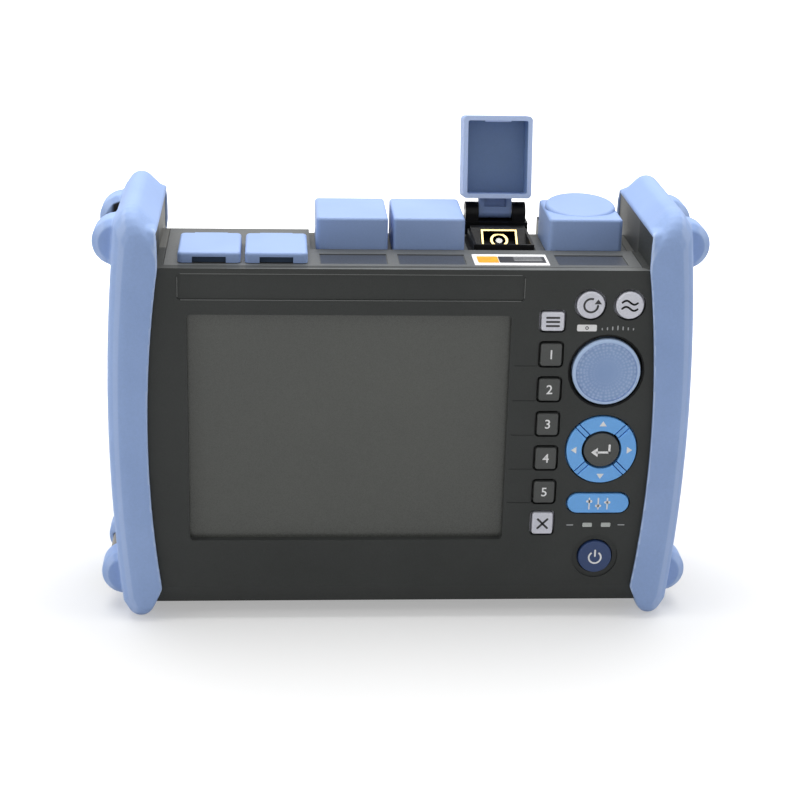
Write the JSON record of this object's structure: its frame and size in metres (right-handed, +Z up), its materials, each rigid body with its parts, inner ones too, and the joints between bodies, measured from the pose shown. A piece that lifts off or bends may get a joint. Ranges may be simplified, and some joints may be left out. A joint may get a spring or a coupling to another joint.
{
  "type": "optical time domain reflectometer",
  "caption": "Handheld optical time domain reflectometer with screen, keys, rotary knob, hinged port covers on top and soft side protectors with strap bars.",
  "frame": {"origin": "on the table, under the middle of the instrument as it stands with one port cover open", "axes": "+X to the instrument's right as its user sees it, +Y from the face to the back, +Z up"},
  "size_m": [0.2232, 0.0792, 0.1799],
  "materials": {
    "case_grey": "dark grey fine texture",
    "elastomer_blue": "satin light blue elastomer",
    "cover_blue": "satin light blue",
    "window": "hard coated anti-glare window",
    "lcd": "dark display",
    "board_green": "circuit board",
    "rubber_black": "black rubber",
    "black_plastic": "black",
    "key_dark": "satin dark grey",
    "key_light": "satin light grey",
    "key_blue": "satin bright blue",
    "key_navy": "satin navy",
    "pipe": "translucent grey",
    "metal_gold": "plated",
    "steel": "steel",
    "ceramic": "white ceramic",
    "module_metal": "sheet housing",
    "battery": "battery shell"
  },
  "bodies": {
    "chassis": {"front_case": "case_grey", "rear_case": "case_grey", "connector_panel": "case_grey", "protector_right": "elastomer_blue", "protector_left": "elastomer_blue", "strap_bars": "steel", "display_window": "window", "lcd_module": "lcd", "main_board": "board_green", "key_mat": "rubber_black", "key_board": "board_green", "led_pipes": "pipe", "arrow_divider": "key_blue", "encoder_housing": "steel", "port_adapters": "metal_gold", "port_ferrules": "ceramic", "cover_pins": "steel", "lan_jack": "steel", "usb_jack": "steel", "optical_module": "module_metal", "battery_pack": "battery", "battery_cover": "case_grey", "case_screws": "steel", "stand_pins": "steel", "port_block_1": "black_plastic", "port_block_2": "black_plastic", "port_block_3": "black_plastic", "port_block_4": "black_plastic"},
    "low_cover_1": {"low_cover_1": "cover_blue"},
    "low_cover_2": {"low_cover_2": "cover_blue"},
    "tall_cover_1": {"tall_cover_1": "cover_blue"},
    "tall_cover_2": {"tall_cover_2": "cover_blue"},
    "tall_cover_3": {"tall_cover_3": "cover_blue"},
    "tall_cover_4": {"tall_cover_4": "cover_blue"},
    "encoder_plunger": {"encoder_plunger": "steel"},
    "knob": {"rotary_knob": "cover_blue", "encoder_shaft": "steel"},
    "tilt_stand": {"tilt_stand": "case_grey"},
    "key_menu": {"key_menu": "key_light"},
    "key_f1": {"key_f1": "key_dark"},
    "key_f2": {"key_f2": "key_dark"},
    "key_f3": {"key_f3": "key_dark"},
    "key_f4": {"key_f4": "key_dark"},
    "key_f5": {"key_f5": "key_dark"},
    "key_esc": {"key_esc": "key_light"},
    "key_real_time": {"key_real_time": "key_light"},
    "key_average": {"key_average": "key_light"},
    "key_setup": {"key_setup": "key_blue"},
    "key_power": {"key_power": "key_navy"},
    "key_enter": {"key_enter": "key_dark"},
    "arrow_up": {"arrow_up": "key_blue"},
    "arrow_right": {"arrow_right": "key_blue"},
    "arrow_down": {"arrow_down": "key_blue"},
    "arrow_left": {"arrow_left": "key_blue"}
  },
  "joints": [
    {"name": "low_cover_1_hinge", "type": "hinge", "parent": "chassis", "child": "low_cover_1", "pos_m": [-0.0698, -0.00081, 0.139], "axis": [-1, 0, 0], "range_deg": [0, 100]},
    {"name": "low_cover_2_hinge", "type": "hinge", "parent": "chassis", "child": "low_cover_2", "pos_m": [-0.0458, -0.00081, 0.139], "axis": [-1, 0, 0], "range_deg": [0, 100]},
    {"name": "tall_cover_1_hinge", "type": "hinge", "parent": "chassis", "child": "tall_cover_1", "pos_m": [-0.018, 0.02689, 0.1423], "axis": [-1, 0, 0], "range_deg": [0, 105]},
    {"name": "tall_cover_2_hinge", "type": "hinge", "parent": "chassis", "child": "tall_cover_2", "pos_m": [0.0104, 0.02689, 0.1423], "axis": [-1, 0, 0], "range_deg": [0, 105]},
    {"name": "tall_cover_3_hinge", "type": "hinge", "parent": "chassis", "child": "tall_cover_3", "pos_m": [0.0386, 0.02689, 0.1423], "axis": [-1, 0, 0], "range_deg": [-100, 5]},
    {"name": "tall_cover_4_hinge", "type": "hinge", "parent": "chassis", "child": "tall_cover_4", "pos_m": [0.0686, 0.02689, 0.1423], "axis": [-1, 0, 0], "range_deg": [0, 105]},
    {"name": "knob_push", "type": "slide", "parent": "chassis", "child": "encoder_plunger", "axis": [0, 1, 0], "range_m": [0, 0.0005], "stiffness_N_per_m": 600},
    {"name": "knob_spin", "type": "hinge", "parent": "encoder_plunger", "child": "knob", "pos_m": [0.0742, -0.03761, 0.099], "axis": [0, -1, 0], "continuous": true},
    {"name": "stand_hinge", "type": "hinge", "parent": "chassis", "child": "tilt_stand", "pos_m": [0, 0.02989, 0.064], "axis": [1, 0, 0], "range_deg": [0, 70]},
    {"name": "key_menu_press", "type": "slide", "parent": "chassis", "child": "key_menu", "axis": [0, 1, 0], "range_m": [0, 0.0006], "stiffness_N_per_m": 500},
    {"name": "key_f1_press", "type": "slide", "parent": "chassis", "child": "key_f1", "axis": [0, 1, 0], "range_m": [0, 0.0006], "stiffness_N_per_m": 500},
    {"name": "key_f2_press", "type": "slide", "parent": "chassis", "child": "key_f2", "axis": [0, 1, 0], "range_m": [0, 0.0006], "stiffness_N_per_m": 500},
    {"name": "key_f3_press", "type": "slide", "parent": "chassis", "child": "key_f3", "axis": [0, 1, 0], "range_m": [0, 0.0006], "stiffness_N_per_m": 500},
    {"name": "key_f4_press", "type": "slide", "parent": "chassis", "child": "key_f4", "axis": [0, 1, 0], "range_m": [0, 0.0006], "stiffness_N_per_m": 500},
    {"name": "key_f5_press", "type": "slide", "parent": "chassis", "child": "key_f5", "axis": [0, 1, 0], "range_m": [0, 0.0006], "stiffness_N_per_m": 500},
    {"name": "key_esc_press", "type": "slide", "parent": "chassis", "child": "key_esc", "axis": [0, 1, 0], "range_m": [0, 0.0006], "stiffness_N_per_m": 500},
    {"name": "key_real_time_press", "type": "slide", "parent": "chassis", "child": "key_real_time", "axis": [0, 1, 0], "range_m": [0, 0.0006], "stiffness_N_per_m": 500},
    {"name": "key_average_press", "type": "slide", "parent": "chassis", "child": "key_average", "axis": [0, 1, 0], "range_m": [0, 0.0006], "stiffness_N_per_m": 500},
    {"name": "key_setup_press", "type": "slide", "parent": "chassis", "child": "key_setup", "axis": [0, 1, 0], "range_m": [0, 0.0006], "stiffness_N_per_m": 500},
    {"name": "key_power_press", "type": "slide", "parent": "chassis", "child": "key_power", "axis": [0, 1, 0], "range_m": [0, 0.0006], "stiffness_N_per_m": 500},
    {"name": "key_enter_press", "type": "slide", "parent": "chassis", "child": "key_enter", "axis": [0, 1, 0], "range_m": [0, 0.0006], "stiffness_N_per_m": 500},
    {"name": "arrow_up_press", "type": "slide", "parent": "chassis", "child": "arrow_up", "axis": [0, 1, 0], "range_m": [0, 0.0006], "stiffness_N_per_m": 500},
    {"name": "arrow_right_press", "type": "slide", "parent": "chassis", "child": "arrow_right", "axis": [0, 1, 0], "range_m": [0, 0.0006], "stiffness_N_per_m": 500},
    {"name": "arrow_down_press", "type": "slide", "parent": "chassis", "child": "arrow_down", "axis": [0, 1, 0], "range_m": [0, 0.0006], "stiffness_N_per_m": 500},
    {"name": "arrow_left_press", "type": "slide", "parent": "chassis", "child": "arrow_left", "axis": [0, 1, 0], "range_m": [0, 0.0006], "stiffness_N_per_m": 500}
  ]
}
